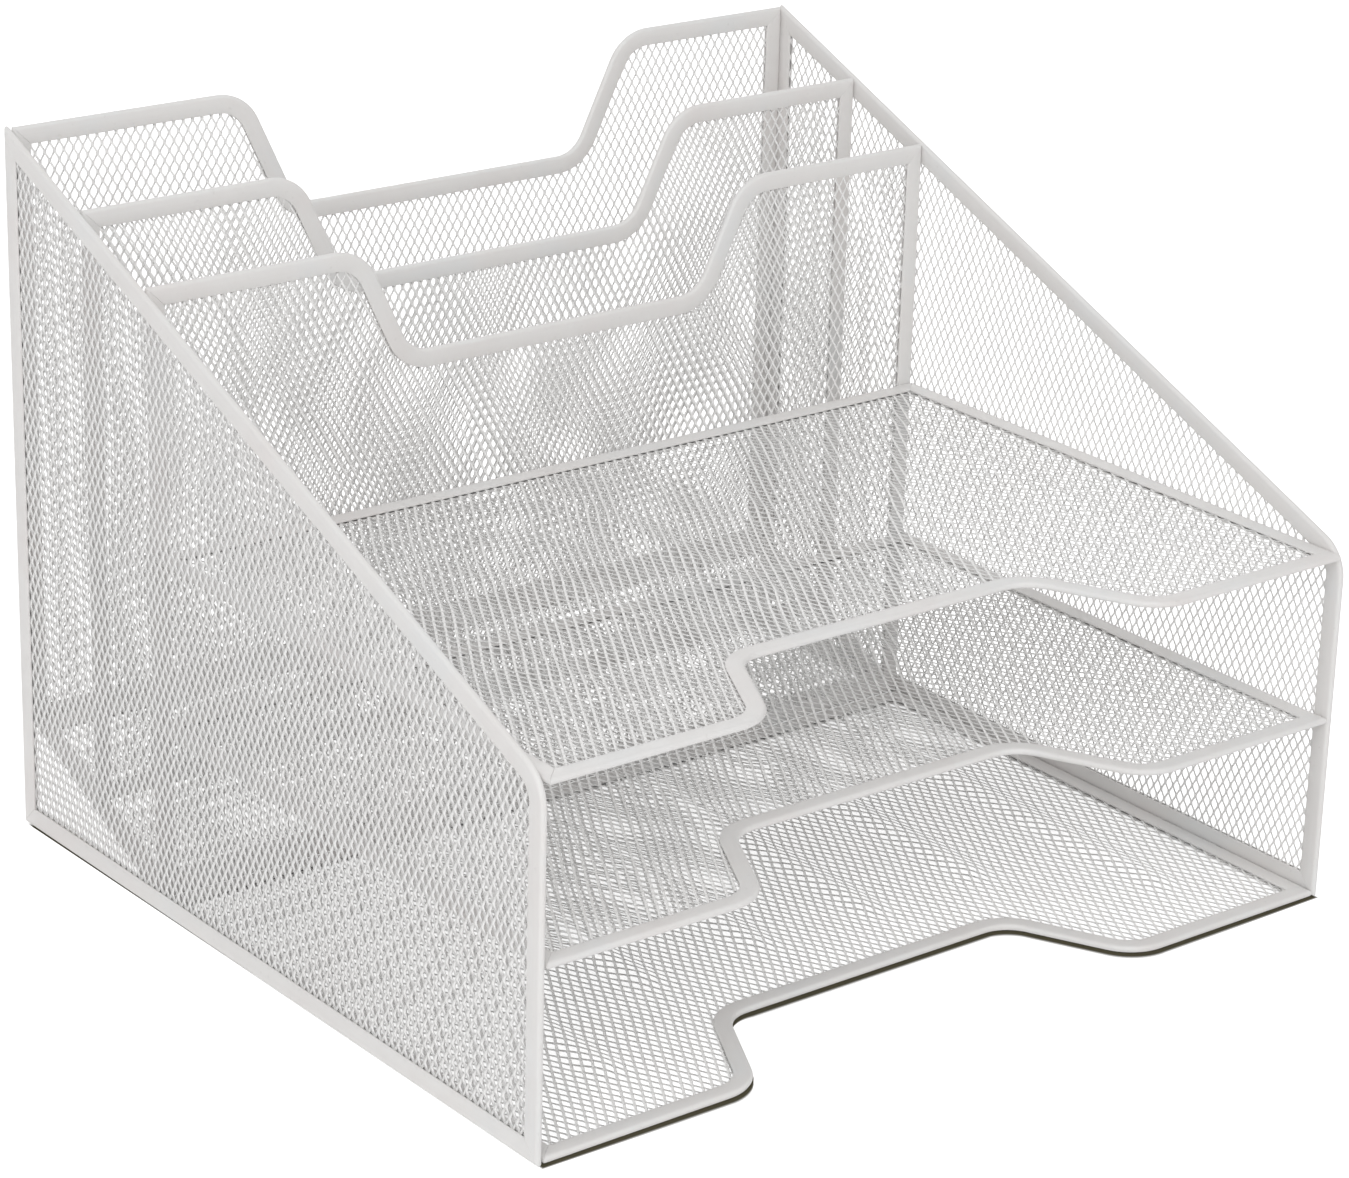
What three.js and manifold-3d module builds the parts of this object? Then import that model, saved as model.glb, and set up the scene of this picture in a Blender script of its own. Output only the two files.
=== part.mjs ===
// Mesh desk organizer: three letter trays in front, two upright file slots behind them.
// Millimetres, +Z up, front towards -Y, origin on the desk under the middle of the outer size.
//
// The object is welded from flat panels. Each panel is a sheet of expanded steel whose edges sit in
// folded steel strips, mitred at the corners. Two five-sided side panels carry three trays, three
// upright panels with a notched top, and a sloped floor under the file slots.
import * as THREE from 'three';
import * as BufferGeometryUtils from 'three/addons/utils/BufferGeometryUtils.js';
import Module from 'manifold-3d';

const wasm = await Module();
wasm.setup();

// Overall size
const WIDTH = 330;
const DEPTH = 302;
const REAR_HEIGHT = 249;
const FRONT_HEIGHT = 125;

// Sheet and folded edge strips
const SHEET_THICKNESS = 0.6;
const STRIP_METAL = 0.6;
const STRIP_FOLD_WALL = 1.0;
const STRIP_NOSE = 0.8;
const SIDE_STRIP_WIDTH = 6.8;
const UPRIGHT_STRIP_WIDTH = 6.4;
const TRAY_STRIP_WIDTH = 6.2;
const CLEARANCE = 0.3;

// Side panels: bend of the strip where the sloped top meets the front
const SIDE_BEND_RADIUS = 15;

// Upright panels: pitch of the two file slots in front of the back panel, and the notch in the top edge
const REAR_SLOT_PITCH = 43.3;
const FRONT_SLOT_PITCH = 39;
const FRONT_DIVIDER_BOTTOM = 1.5;
const BACK_PANEL_LAP = 1.2;
const NOTCH_HALF_WIDTH = 70;
const NOTCH_FLANK_ANGLE = 64;
const NOTCH_CREST_RADIUS = 18;
const NOTCH_ROOT_RADIUS = 12;
const BACK_NOTCH_DEPTH = 42.5;
const BACK_NOTCH_SHIFT = 8;
const DIVIDER_NOTCH_DEPTH = 39;

// File floor: heights of its middle plane at its front and rear ends
const FLOOR_FRONT_HEIGHT = 3.8;
const FLOOR_REAR_HEIGHT = 38.4;

// Trays: height of the middle plane of each, and the grab recess in the front edge
const MIDDLE_TRAY_HEIGHT = 65;
const TOP_TRAY_DROP = 1.4;
const RECESS_HALF_WIDTH = 69.5;
const RECESS_FLANK_ANGLE = 63;
const RECESS_CREST_RADIUS = 18;
const RECESS_ROOT_RADIUS = 13;
const RECESS_DEPTH = 42;

// Stiffening ribs pressed up into the tray sheets
const RIB_COUNT = 6;
const RIB_PITCH = 47.5;
const RIB_SHIFT = 7;
const RIB_WIDTH = 18;
const RIB_HEIGHT = 1.4;
const RIB_END_TAPER = 12;
const RIB_FRONT_MARGIN = 28;
const RIB_REAR_MARGIN = 16;

// Expanded steel, drawn with openings larger than the real ones; pitches across and along the diamonds
const PANEL_DIAMOND_ACROSS = 36;
const PANEL_DIAMOND_ALONG = 52;
const TRAY_DIAMOND_ACROSS = 36;
const TRAY_DIAMOND_ALONG = 62;
const STRAND_WIDTH = 2.6;
const SHEET_RIM = 3.6;
const SMALLEST_SHARE = 0.2;

// Facets in each half of an arc
const ARC_DIVISIONS = 3;

// Height of the solids that cut the openings, how far two solids overlap where they join, how near two
// points count as one, and how finely a diamond is sampled
const CUTTER_DEPTH = 8;
const JOIN_OVERLAP = 0.05;
const SAME_POINT = 1e-4;
const SAMPLES_ACROSS = 8;

// Sizes that follow from the ones above
const slotWidth = SHEET_THICKNESS + 2 * CLEARANCE;
const stripThickness = slotWidth + 2 * STRIP_METAL;
const sheetInset = STRIP_FOLD_WALL + CLEARANCE;
const windowInset = sheetInset + SHEET_RIM;
const innerHalf = WIDTH / 2 - stripThickness - CLEARANCE;
const front = -DEPTH / 2;
const rear = DEPTH / 2;
const backPanelY = rear - stripThickness / 2;
const middleDividerY = backPanelY - REAR_SLOT_PITCH;
const frontDividerY = middleDividerY - FRONT_SLOT_PITCH;
const topSlope = Math.atan2(REAR_HEIGHT - FRONT_HEIGHT, DEPTH);

const steel = { color: 0xdbd9d5, roughness: 0.5, metalness: 0.1 };
const panelDiamond = { across: PANEL_DIAMOND_ACROSS, along: PANEL_DIAMOND_ALONG };
const trayDiamond = { across: TRAY_DIAMOND_ACROSS, along: TRAY_DIAMOND_ALONG };

function sideTopAt(y) {
  return FRONT_HEIGHT + (y - front) * Math.tan(topSlope);
}

// Points of a flat line through the corners, with an arc at each corner that has a radius r
function roundedPoints(corners) {
  const path = new THREE.Path();
  path.moveTo(corners[0].x, corners[0].y);
  for (let i = 1; i < corners.length - 1; i += 1) {
    const corner = new THREE.Vector2(corners[i].x, corners[i].y);
    const radius = corners[i].r ?? 0;
    if (radius <= 0) {
      path.lineTo(corner.x, corner.y);
      continue;
    }
    const arriving = corner.clone().sub(corners[i - 1]).normalize();
    const leaving = new THREE.Vector2(corners[i + 1].x, corners[i + 1].y).sub(corner).normalize();
    const turn = Math.atan2(arriving.cross(leaving), arriving.dot(leaving));
    const side = Math.sign(turn);
    const reach = radius * Math.tan(Math.abs(turn) / 2);
    const start = corner.clone().addScaledVector(arriving, -reach);
    const normal = new THREE.Vector2(-arriving.y, arriving.x).multiplyScalar(side);
    const centre = start.clone().addScaledVector(normal, radius);
    const fromAngle = Math.atan2(start.y - centre.y, start.x - centre.x);
    path.lineTo(start.x, start.y);
    path.absarc(centre.x, centre.y, radius, fromAngle, fromAngle + turn, side < 0);
  }
  const last = corners[corners.length - 1];
  path.lineTo(last.x, last.y);
  return withoutRepeats(path.getPoints(ARC_DIVISIONS));
}

function withoutRepeats(points) {
  return points.filter((point, i) => i === 0 || point.distanceTo(points[i - 1]) > SAME_POINT);
}

// Step inwards per millimetre of inset where two runs of an outline meet (the inside is on the left)
function mitreStep(before, after) {
  const a = new THREE.Vector2(-before.y, before.x);
  const b = new THREE.Vector2(-after.y, after.x);
  return a.clone().add(b).divideScalar(1 + a.dot(b));
}

function direction(from, to) {
  return to.clone().sub(from).normalize();
}

function insetOutline(outline, inset) {
  const count = outline.length;
  return outline.map((point, i) => {
    const before = direction(outline[(i + count - 1) % count], point);
    const after = direction(point, outline[(i + 1) % count]);
    return point.clone().addScaledVector(mitreStep(before, after), inset);
  });
}

// Section of the folded strip: x runs inwards from the outer edge, y through the thickness
function stripSection(width) {
  const half = stripThickness / 2;
  const slot = slotWidth / 2;
  return [
    new THREE.Vector2(width, half),
    new THREE.Vector2(STRIP_NOSE, half),
    new THREE.Vector2(0, half - STRIP_NOSE),
    new THREE.Vector2(0, STRIP_NOSE - half),
    new THREE.Vector2(STRIP_NOSE, -half),
    new THREE.Vector2(width, -half),
    new THREE.Vector2(width, -slot),
    new THREE.Vector2(STRIP_FOLD_WALL, -slot),
    new THREE.Vector2(STRIP_FOLD_WALL, slot),
    new THREE.Vector2(width, slot),
  ];
}

// Folded strip along one run of an outline, mitred against its neighbours with a seam between them
function stripGeometry(run, directionBefore, directionAfter, width) {
  const section = stripSection(width);
  const rings = run.map((point, i) => {
    const first = i === 0;
    const last = i === run.length - 1;
    const before = first ? directionBefore : direction(run[i - 1], point);
    const after = last ? directionAfter : direction(point, run[i + 1]);
    const step = mitreStep(before, after);
    const place = point.clone();
    if (first || last) {
      const along = first ? after : before;
      const sine = Math.abs(along.cross(step)) / step.length();
      place.addScaledVector(along, ((first ? 1 : -1) * CLEARANCE) / (2 * sine));
    }
    return section.map((s) => [place.x + step.x * s.x, place.y + step.y * s.x, s.y]);
  });
  const positions = rings.flat(2);
  const indices = [];
  const size = section.length;
  for (let ring = 0; ring < rings.length - 1; ring += 1) {
    for (let k = 0; k < size; k += 1) {
      const next = (k + 1) % size;
      const a = ring * size + k;
      const b = ring * size + next;
      indices.push(a, b, b + size, a, b + size, a + size);
    }
  }
  const lastRing = (rings.length - 1) * size;
  for (const [a, b, c] of THREE.ShapeUtils.triangulateShape(section, [])) {
    indices.push(a, c, b, lastRing + a, lastRing + b, lastRing + c);
  }
  const geometry = new THREE.BufferGeometry();
  geometry.setAttribute('position', new THREE.Float32BufferAttribute(positions, 3));
  geometry.setIndex(indices);
  return facingOut(geometry);
}

function signedVolume(geometry) {
  const p = geometry.getAttribute('position');
  const index = geometry.getIndex();
  const a = new THREE.Vector3();
  const b = new THREE.Vector3();
  const c = new THREE.Vector3();
  let sum = 0;
  for (let i = 0; i < index.count; i += 3) {
    a.fromBufferAttribute(p, index.getX(i));
    b.fromBufferAttribute(p, index.getX(i + 1));
    c.fromBufferAttribute(p, index.getX(i + 2));
    sum += a.dot(b.cross(c)) / 6;
  }
  return sum;
}

function facingOut(geometry) {
  if (signedVolume(geometry) < 0) {
    const index = geometry.getIndex();
    for (let i = 0; i < index.count; i += 3) {
      const kept = index.getX(i + 1);
      index.setX(i + 1, index.getX(i + 2));
      index.setX(i + 2, kept);
    }
  }
  return geometry;
}

function solidOf(geometry) {
  const bare = geometry.clone();
  bare.deleteAttribute('normal');
  bare.deleteAttribute('uv');
  const merged = BufferGeometryUtils.mergeVertices(bare, SAME_POINT);
  return new wasm.Manifold(new wasm.Mesh({
    numProp: 3,
    vertProperties: new Float32Array(merged.getAttribute('position').array),
    triVerts: new Uint32Array(merged.getIndex().array),
  }));
}

function geometryOf(solid) {
  const mesh = solid.getMesh();
  const geometry = new THREE.BufferGeometry();
  const corners = [];
  for (let i = 0; i < mesh.vertProperties.length; i += mesh.numProp) {
    corners.push(mesh.vertProperties[i], mesh.vertProperties[i + 1], mesh.vertProperties[i + 2]);
  }
  geometry.setAttribute('position', new THREE.Float32BufferAttribute(corners, 3));
  geometry.setIndex(Array.from(mesh.triVerts));
  return geometry;
}

// Flat plate with the given outline, centred on the panel's middle plane
function plateGeometry(outline, thickness) {
  const geometry = new THREE.ExtrudeGeometry(new THREE.Shape(outline), {
    depth: thickness,
    bevelEnabled: false,
  });
  geometry.translate(0, 0, -thickness / 2);
  return geometry;
}

function isInside(point, outline) {
  let inside = false;
  for (let i = 0, j = outline.length - 1; i < outline.length; j = i, i += 1) {
    const a = outline[i];
    const b = outline[j];
    const crosses = (a.y > point.y) !== (b.y > point.y);
    if (crosses && point.x < ((b.x - a.x) * (point.y - a.y)) / (b.y - a.y) + a.x) {
      inside = !inside;
    }
  }
  return inside;
}

// Share of a diamond that lies inside the outline, from points spread over it
function shareInside(centre, halfShort, halfLong, outline) {
  let hits = 0;
  for (let i = 0; i < SAMPLES_ACROSS; i += 1) {
    for (let j = 0; j < SAMPLES_ACROSS; j += 1) {
      const a = (i + 0.5) / SAMPLES_ACROSS - 0.5;
      const b = (j + 0.5) / SAMPLES_ACROSS - 0.5;
      const point = new THREE.Vector2(centre.x + (a + b) * halfShort, centre.y + (a - b) * halfLong);
      hits += isInside(point, outline) ? 1 : 0;
    }
  }
  return hits / SAMPLES_ACROSS ** 2;
}

// Openings of the expanded sheet: two sets of diamonds, the second half a pitch along and across
function diamondGeometries(outline, across, along) {
  const box = new THREE.Box2().setFromPoints(outline);
  const size = box.getSize(new THREE.Vector2());
  const columns = Math.max(1, Math.round(size.x / across));
  const rows = Math.max(1, Math.round(size.y / along));
  const pitchX = size.x / columns;
  const pitchY = size.y / rows;
  const edge = Math.hypot(pitchX, pitchY);
  const halfX = pitchX / 2 - (STRAND_WIDTH * edge) / (2 * pitchY);
  const halfY = pitchY / 2 - (STRAND_WIDTH * edge) / (2 * pitchX);
  const made = [];
  for (let column = 0; column <= 2 * columns; column += 1) {
    for (let row = 0; row <= 2 * rows; row += 1) {
      const centre = new THREE.Vector2(box.min.x + (column * pitchX) / 2, box.min.y + (row * pitchY) / 2);
      if ((column + row) % 2 === 1 && shareInside(centre, halfX, halfY, outline) > SMALLEST_SHARE) {
        const diamond = [
          new THREE.Vector2(centre.x + halfX, centre.y),
          new THREE.Vector2(centre.x, centre.y + halfY),
          new THREE.Vector2(centre.x - halfX, centre.y),
          new THREE.Vector2(centre.x, centre.y - halfY),
        ];
        made.push(plateGeometry(diamond, CUTTER_DEPTH));
      }
    }
  }
  return made;
}

// Sheet with a plain rim held in the strips; creases are the ribs pressed into it before it is framed
function expandedSheet(outline, diamond, creases) {
  let plate = solidOf(plateGeometry(insetOutline(outline, sheetInset), SHEET_THICKNESS));
  for (const crease of creases) {
    plate = plate.add(solidOf(crease.raised)).subtract(solidOf(crease.hollow));
  }
  const window = insetOutline(outline, windowInset);
  const diamonds = diamondGeometries(window, diamond.across, diamond.along);
  const openings = solidOf(BufferGeometryUtils.mergeGeometries(diamonds));
  const cut = openings.intersect(solidOf(plateGeometry(window, CUTTER_DEPTH)));
  return plate.subtract(cut);
}

// Roof-shaped ridge along y from base height up, with sloped ends
function ridgeGeometry(x, fromY, toY, base, top) {
  const half = RIB_WIDTH / 2;
  const corners = [
    [x - half, fromY, base],
    [x + half, fromY, base],
    [x + half, toY, base],
    [x - half, toY, base],
    [x, fromY + RIB_END_TAPER, top],
    [x, toY - RIB_END_TAPER, top],
  ];
  const faces = [0, 3, 2, 0, 2, 1, 0, 1, 4, 2, 3, 5, 1, 2, 5, 1, 5, 4, 3, 0, 4, 3, 4, 5];
  const geometry = new THREE.BufferGeometry();
  geometry.setAttribute('position', new THREE.Float32BufferAttribute(corners.flat(), 3));
  geometry.setIndex(faces);
  return facingOut(geometry);
}

// Ribs of a tray sheet: a ridge above and the same ridge hollow below it
function trayRibs(frontEdgeAt, rearEdge) {
  return Array.from({ length: RIB_COUNT }, (_, i) => {
    const x = (i - (RIB_COUNT - 1) / 2) * RIB_PITCH + RIB_SHIFT;
    const from = frontEdgeAt(x) + RIB_FRONT_MARGIN;
    const to = rearEdge - RIB_REAR_MARGIN;
    const face = SHEET_THICKNESS / 2;
    return {
      raised: ridgeGeometry(x, from, to, face - JOIN_OVERLAP, face + RIB_HEIGHT),
      hollow: ridgeGeometry(x, from, to, -face - JOIN_OVERLAP, RIB_HEIGHT - face),
    };
  });
}

function namedMesh(name, geometry) {
  geometry.computeVertexNormals();
  const mesh = new THREE.Mesh(geometry, new THREE.MeshStandardMaterial(steel));
  mesh.name = name;
  return mesh;
}

// Panel of one sheet in folded strips; runs go round the outline with the inside on the left
function framedPanel(prefix, runs, width, diamond, creases = []) {
  const panel = new THREE.Group();
  const outline = [];
  runs.forEach((run, i) => {
    const previous = runs[(i + runs.length - 1) % runs.length].points;
    const next = runs[(i + 1) % runs.length].points;
    const before = direction(previous[previous.length - 2], previous[previous.length - 1]);
    const after = direction(next[0], next[1]);
    panel.add(namedMesh(`${prefix}_${run.name}`, stripGeometry(run.points, before, after, width)));
    outline.push(...run.points.slice(0, -1));
  });
  panel.add(namedMesh(`${prefix}_mesh`, geometryOf(expandedSheet(outline, diamond, creases))));
  return panel;
}

// Corners of an edge with a flat-bottomed notch in it, from left to right; depth is signed
function notchCorners(left, right, level, shape) {
  const run = Math.abs(shape.depth) / (2 * Math.tan(THREE.MathUtils.degToRad(shape.flankAngle)));
  const centre = shape.shift ?? 0;
  const floor = level - shape.depth;
  return [
    { x: left, y: level },
    { x: centre - shape.halfWidth - run, y: level, r: shape.crestRadius },
    { x: centre - shape.halfWidth + run, y: floor, r: shape.rootRadius },
    { x: centre + shape.halfWidth - run, y: floor, r: shape.rootRadius },
    { x: centre + shape.halfWidth + run, y: level, r: shape.crestRadius },
    { x: right, y: level },
  ];
}

function straightRun(name, fromX, fromY, toX, toY) {
  return { name, points: [new THREE.Vector2(fromX, fromY), new THREE.Vector2(toX, toY)] };
}

function sidePanel(prefix, x) {
  const panel = framedPanel(prefix, [
    straightRun('bottom_strip', front, 0, rear, 0),
    straightRun('rear_strip', rear, 0, rear, REAR_HEIGHT),
    {
      name: 'front_strip',
      points: roundedPoints([
        { x: rear, y: REAR_HEIGHT },
        { x: front, y: FRONT_HEIGHT, r: SIDE_BEND_RADIUS },
        { x: front, y: 0 },
      ]),
    },
  ], SIDE_STRIP_WIDTH, panelDiamond);
  panel.rotation.set(Math.PI / 2, Math.PI / 2, 0);
  panel.position.x = x;
  return panel;
}

function uprightPanel(prefix, y, bottom, notchDepth, notchShift) {
  const top = sideTopAt(y);
  const crest = notchCorners(-innerHalf, innerHalf, top, {
    halfWidth: NOTCH_HALF_WIDTH,
    flankAngle: NOTCH_FLANK_ANGLE,
    crestRadius: NOTCH_CREST_RADIUS,
    rootRadius: NOTCH_ROOT_RADIUS,
    depth: notchDepth,
    shift: notchShift,
  }).reverse();
  const panel = framedPanel(prefix, [
    straightRun('bottom_strip', -innerHalf, bottom, innerHalf, bottom),
    straightRun('right_strip', innerHalf, bottom, innerHalf, top),
    { name: 'top_rail', points: roundedPoints(crest) },
    straightRun('left_strip', -innerHalf, top, -innerHalf, bottom),
  ], UPRIGHT_STRIP_WIDTH, panelDiamond);
  panel.rotation.x = Math.PI / 2;
  panel.position.y = y;
  return panel;
}

// File floor between the front divider and the back panel, rising to the rear
const floorFrontY = frontDividerY + stripThickness / 2 + CLEARANCE;
const floorRearY = backPanelY - stripThickness / 2 - CLEARANCE;
const floorSlope = Math.atan2(FLOOR_REAR_HEIGHT - FLOOR_FRONT_HEIGHT, floorRearY - floorFrontY);
const floorSetback = (stripThickness / 2) * Math.sin(floorSlope);

function floorMiddleAt(y) {
  return FLOOR_FRONT_HEIGHT + (y - floorFrontY) * Math.tan(floorSlope);
}

function fileFloor() {
  const from = floorSetback / Math.cos(floorSlope);
  const to = (floorRearY - floorFrontY - floorSetback) / Math.cos(floorSlope);
  const runs = [
    straightRun('front_strip', -innerHalf, from, innerHalf, from),
    straightRun('right_strip', innerHalf, from, innerHalf, to),
    straightRun('rear_strip', innerHalf, to, -innerHalf, to),
    straightRun('left_strip', -innerHalf, to, -innerHalf, from),
  ];
  const panel = framedPanel('file_floor', runs, UPRIGHT_STRIP_WIDTH, panelDiamond);
  panel.rotation.x = floorSlope;
  panel.position.set(0, floorFrontY, FLOOR_FRONT_HEIGHT);
  return panel;
}

// Tray from the front edge of the side panels to the front divider
function tray(prefix, height) {
  const back = frontDividerY - stripThickness / 2 - CLEARANCE;
  const recess = notchCorners(-innerHalf, innerHalf, front, {
    halfWidth: RECESS_HALF_WIDTH,
    flankAngle: RECESS_FLANK_ANGLE,
    crestRadius: RECESS_CREST_RADIUS,
    rootRadius: RECESS_ROOT_RADIUS,
    depth: -RECESS_DEPTH,
  });
  const frontEdge = roundedPoints(recess);
  const runs = [
    { name: 'front_rail', points: frontEdge },
    straightRun('right_strip', innerHalf, front, innerHalf, back),
    straightRun('rear_strip', innerHalf, back, -innerHalf, back),
    straightRun('left_strip', -innerHalf, back, -innerHalf, front),
  ];
  const recessReach = RECESS_HALF_WIDTH + RECESS_CREST_RADIUS;
  const frontEdgeAt = (x) => (Math.abs(x) < recessReach ? front + RECESS_DEPTH : front);
  const ribs = trayRibs(frontEdgeAt, back);
  const panel = framedPanel(prefix, runs, TRAY_STRIP_WIDTH, trayDiamond, ribs);
  panel.position.z = height;
  return panel;
}

const organizer = new THREE.Group();
organizer.name = 'mesh_desk_organizer';
organizer.add(sidePanel('left_side', -(WIDTH - stripThickness) / 2));
organizer.add(sidePanel('right_side', (WIDTH - stripThickness) / 2));

const backBottom = FLOOR_REAR_HEIGHT - stripThickness / 2 - BACK_PANEL_LAP;
const middleRearFace = middleDividerY + stripThickness / 2;
const floorHalfRise = stripThickness / (2 * Math.cos(floorSlope));
const middleBottom = floorMiddleAt(middleRearFace) + floorHalfRise + CLEARANCE;
organizer.add(uprightPanel('back_panel', backPanelY, backBottom, BACK_NOTCH_DEPTH, BACK_NOTCH_SHIFT));
organizer.add(uprightPanel('middle_divider', middleDividerY, middleBottom, DIVIDER_NOTCH_DEPTH, 0));
organizer.add(uprightPanel('front_divider', frontDividerY, FRONT_DIVIDER_BOTTOM, DIVIDER_NOTCH_DEPTH, 0));
organizer.add(fileFloor());
organizer.add(tray('bottom_tray', stripThickness / 2));
organizer.add(tray('middle_tray', MIDDLE_TRAY_HEIGHT));
organizer.add(tray('top_tray', FRONT_HEIGHT - TOP_TRAY_DROP));

export default organizer;
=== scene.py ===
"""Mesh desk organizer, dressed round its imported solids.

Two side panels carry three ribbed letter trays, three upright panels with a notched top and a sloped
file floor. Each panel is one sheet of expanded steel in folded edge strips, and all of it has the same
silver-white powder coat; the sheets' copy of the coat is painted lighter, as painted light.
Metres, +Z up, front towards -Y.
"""

import math
from functools import partial

import bmesh
import bpy
import numpy as np
from bpy.props import FloatProperty, FloatVectorProperty, IntProperty, PointerProperty
from bpy.types import Operator, Panel, PropertyGroup
from mathutils import Matrix, Vector, noise
from mathutils.geometry import delaunay_2d_cdt


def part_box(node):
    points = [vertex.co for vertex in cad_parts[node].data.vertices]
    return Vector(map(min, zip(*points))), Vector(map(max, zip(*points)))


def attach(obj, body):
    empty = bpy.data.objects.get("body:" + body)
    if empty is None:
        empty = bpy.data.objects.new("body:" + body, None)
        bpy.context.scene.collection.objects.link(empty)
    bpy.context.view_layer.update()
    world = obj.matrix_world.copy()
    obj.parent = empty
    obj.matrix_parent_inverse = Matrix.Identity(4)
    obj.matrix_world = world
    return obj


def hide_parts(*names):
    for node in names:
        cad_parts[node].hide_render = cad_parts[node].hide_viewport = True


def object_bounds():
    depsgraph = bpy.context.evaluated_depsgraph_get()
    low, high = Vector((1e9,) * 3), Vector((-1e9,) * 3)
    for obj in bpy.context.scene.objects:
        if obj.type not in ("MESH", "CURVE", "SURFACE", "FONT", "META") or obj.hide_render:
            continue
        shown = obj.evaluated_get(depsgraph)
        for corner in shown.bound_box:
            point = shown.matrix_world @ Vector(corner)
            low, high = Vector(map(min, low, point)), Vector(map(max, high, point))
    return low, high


bl_info = {
    "name": "Mesh desk organizer",
    "version": (1, 0, 0),
    "blender": (4, 5, 0),
    "location": "View3D > Sidebar > Organizer",
    "description": "Builds the expanded steel sheets, folded strips and powder coat of a desk organizer",
    "category": "Object",
}

MM = 0.001

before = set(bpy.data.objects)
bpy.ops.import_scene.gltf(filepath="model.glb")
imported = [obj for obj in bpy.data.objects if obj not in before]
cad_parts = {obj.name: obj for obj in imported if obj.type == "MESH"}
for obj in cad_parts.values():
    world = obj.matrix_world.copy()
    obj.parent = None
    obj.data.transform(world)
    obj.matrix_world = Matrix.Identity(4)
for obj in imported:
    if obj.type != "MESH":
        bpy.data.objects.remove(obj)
cad_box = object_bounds()


# Sizes and colours that a user would change


def length(name, description, millimetres):
    size = millimetres * MM
    return FloatProperty(name=name, description=description, default=size, unit="LENGTH", precision=5)


def angle(name, description, degrees):
    turn = math.radians(degrees)
    return FloatProperty(name=name, description=description, default=turn, subtype="ANGLE")


def share(name, description, value):
    limits = {"min": 0, "max": 1}
    return FloatProperty(name=name, description=description, default=value, subtype="FACTOR", **limits)


def power(name, description, watts):
    return FloatProperty(name=name, description=description, default=watts, unit="POWER")


def colour(name, description, value):
    limits = {"size": 3, "min": 0, "max": 1}
    return FloatVectorProperty(name=name, description=description, default=value, subtype="COLOR", **limits)


class OrganizerSheetSizes(PropertyGroup):
    strand: length("Strand width", "Width of one strand of the expanded steel", 0.76)
    gauge: length("Gauge", "Thickness of the steel", 0.34)
    bond_width: length("Bond width", "Width of the bond between two openings of a row", 1.2)
    lean: angle("Lean", "How far the stretching has turned the strands out of the sheet", 14)
    left_lean: angle("Left lean", "How far it has turned those of the left side", 8)
    tray_lean: angle("Tray lean", "How far it has turned those of the trays", 4)
    bond: length("Bond", "Length of the bond between two openings of a row", 0.35)
    tray_bond: length("Tray bond", "Length of that bond in the trays, which are stretched further", 0.16)
    across: length("Pitch across", "Distance between two openings of a row", 3.66)
    along: length("Pitch along", "Distance from an opening to the next one beyond its tip", 6.4)
    uneven: length("Unevenness", "How far the openings stray from an even lattice", 0.55)
    inset: length("Sheet inset", "Least distance from an opening's middle to the panel's edge", 4.2)
    slack: length("Slack", "How far a sheet strays from flat between its strips", 0.3)
    slack_reach: length("Slack reach", "Distance over which the slack grows from the strips", 25)


class OrganizerStripSizes(PropertyGroup):
    steel: length("Steel", "Thickness of the folded steel", 0.6)
    fold_radius: length("Fold radius", "Radius of the folded edge", 1.15)
    hem: length("Hem", "Length of the leg's end that is pressed onto the sheet", 1.3)
    hem_thickness: length("Hem thickness", "Thickness across both legs at their ends", 1.7)
    seam: length("Mitre seam", "Gap between two strips at a corner", 0.03)
    softening: length("Softening", "Width of the rounding that the coat gives to sharp edges", 0.1)
    waviness: length("Waviness", "How far the hem of a strip strays from straight", 0.12)
    step: length("Step", "Distance between two sections of a straight strip", 9)
    fold_steps: IntProperty(name="Fold steps", description="Facets in the folded edge", default=8, min=2)
    arc_steps: IntProperty(name="Arc steps", description="Facets in a bend of a strip", default=14, min=2)


class OrganizerEdgeSizes(PropertyGroup):
    front_height: length("Front height", "Height of the side panels at the front", 125)
    bend_radius: length("Bend radius", "Bend of the side strip between the slope and the front", 15)
    notch_half_width: length("Notch half width", "Half the notch of an upright panel at half its depth", 70)
    notch_angle: angle("Notch angle", "Slope of the notch's flanks", 64)
    notch_crest: length("Notch crest radius", "Upper bend of the notch", 18)
    notch_root: length("Notch root radius", "Lower bend of the notch", 12)
    back_shift: length("Back notch shift", "How far the back panel's notch sits right of the middle", 8)
    recess_half_width: length("Recess half width", "Half the grab recess of a tray at half its depth", 69.5)
    recess_angle: angle("Recess angle", "Slope of the recess's flanks", 63)
    recess_crest: length("Recess crest radius", "Front bend of the recess", 18)
    recess_root: length("Recess root radius", "Rear bend of the recess", 13)


class OrganizerRibSizes(PropertyGroup):
    count: IntProperty(name="Ribs", description="Ribs in each tray", default=6, min=0)
    pitch: length("Rib pitch", "Distance between two ribs", 47.5)
    shift: length("Rib shift", "How far the ribs sit right of the middle", 7)
    width: length("Rib width", "Width of a rib at its foot", 18)
    height: length("Rib height", "How far a rib stands above the sheet", 1.4)
    taper: length("Rib taper", "Length over which a rib's end runs out", 12)
    front_margin: length("Front margin", "Distance from the front edge to a rib", 28)
    rear_margin: length("Rear margin", "Distance from the rear edge to a rib", 16)


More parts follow.
